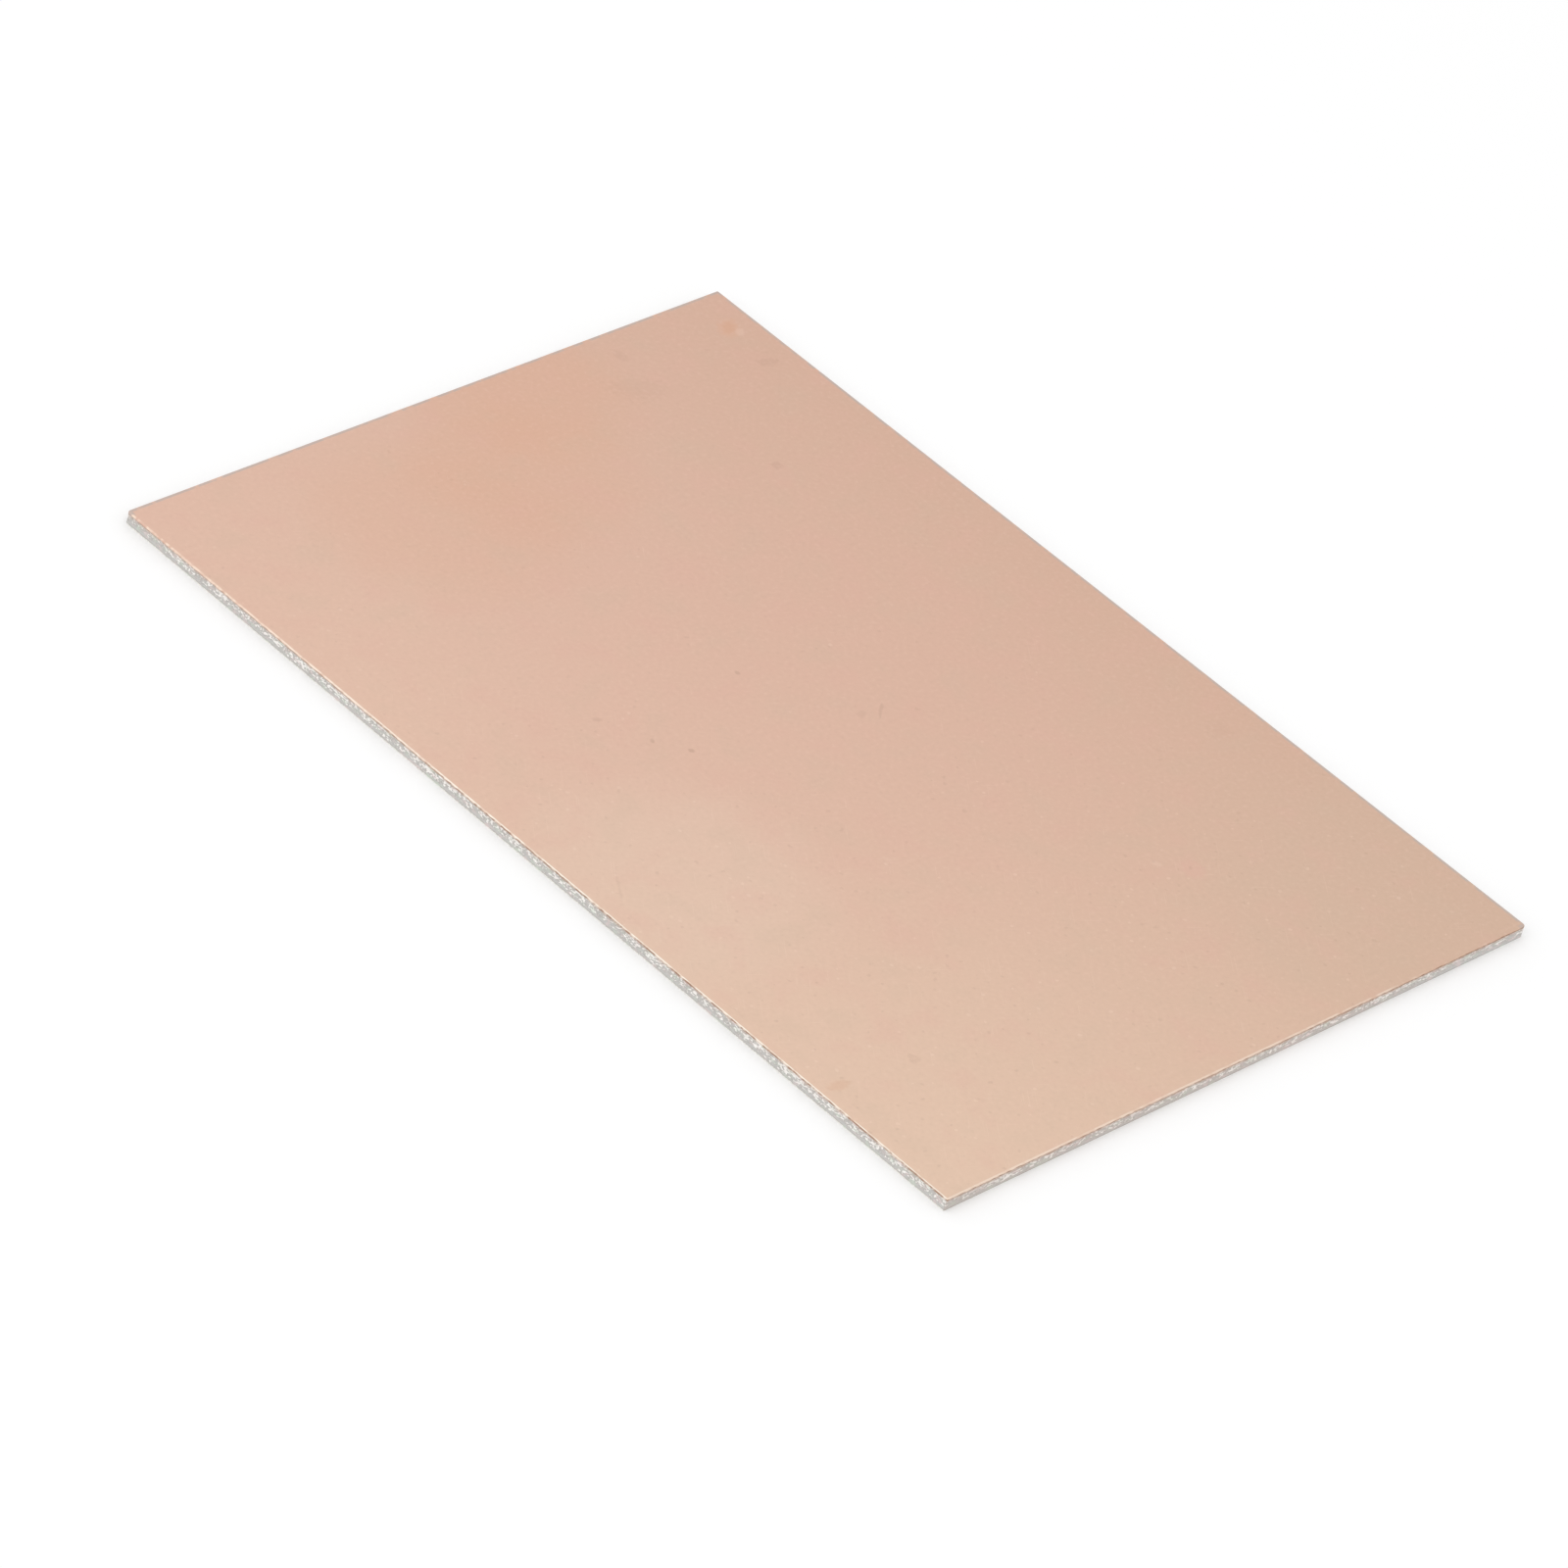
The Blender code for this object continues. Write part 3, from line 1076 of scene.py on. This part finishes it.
def edge_tone(finish, height, speckle):
    """The tone of the cut edge, from the dark bottom of its land up to the undercut."""
    glass = finish.attribute("glass")
    dirt_and_shade = finish.attribute("dirt_and_shade")
    darkness = finish.step(height, 0.30, 0.12) * 0.7 + 1.1 * (speckle - 0.45)
    land = finish.blend(darkness, LAND_GREY, LAND_DARK)
    tone = finish.blend(finish.step(glass, 0.01, 0.12), land, RESIN_GREY)
    white = finish.step(glass + 1.2 * (speckle - 0.5), 0.08, 0.90)
    tone = finish.blend(white, tone, GLASS_WHITE)
    tint = finish.cloud((0.9, 0.9, 0.4), seed=9)
    tone = finish.blend(finish.step(tint, 0.52, 0.75) * 0.55, tone, GREEN_TINT)
    tone = finish.blend(finish.step(tint, 0.48, 0.25) * 0.55, tone, PINK_TINT)
    # Brown of dirt and painted shade under the lip, and a painted warm bounce light on the near
    # short side.
    return finish.blend(dirt_and_shade * 0.85, tone, UNDERCUT_DIRT_AND_SHADE)


def build_laminate():
    """The finish of the torn edge, the burnished land and the woven underside."""
    finish = new_finish("glass_epoxy")
    height = finish.node("ShaderNodeSeparateXYZ", {}, {"Vector": finish.place()}).output("Z")
    speckle = finish.cloud((0.17, 0.17, 0.13), detail=1.0, seed=4)
    warp = finish.math("SINE", finish.along(2 * math.pi / WARP_PITCH, 0.0))
    weft = finish.math("SINE", finish.along(0.0, 2 * math.pi / WEFT_PITCH))
    weave = warp * weft * 0.5 + 0.5
    sway = finish.cloud(3.0, seed=13, flat=True)
    threads = finish.step(weave + 0.5 * (sway - 0.5), 0.25, 0.85)
    cloth = finish.blend(threads, UNDERSIDE_STRAW, UNDERSIDE_THREAD)
    below = finish.step(height, 0.020, 0.004)
    surface = finish.node("ShaderNodeBsdfPrincipled", {}, {
        "Base Color": finish.blend(below, edge_tone(finish, height, speckle), cloth),
        "Roughness": 0.62 - 0.22 * below + 0.15 * (speckle - 0.5),
        "Normal": finish.bump(below * weave + (1.0 - below) * speckle, 0.35, GLASS_GRAIN_DEPTH),
    })
    finish.node("ShaderNodeOutputMaterial", {}, {"Surface": surface})
    return finish.owner


laminate.data.materials.append(build_laminate())
print(f"Laminate finish: {len(laminate.data.materials[0].node_tree.nodes)} nodes")
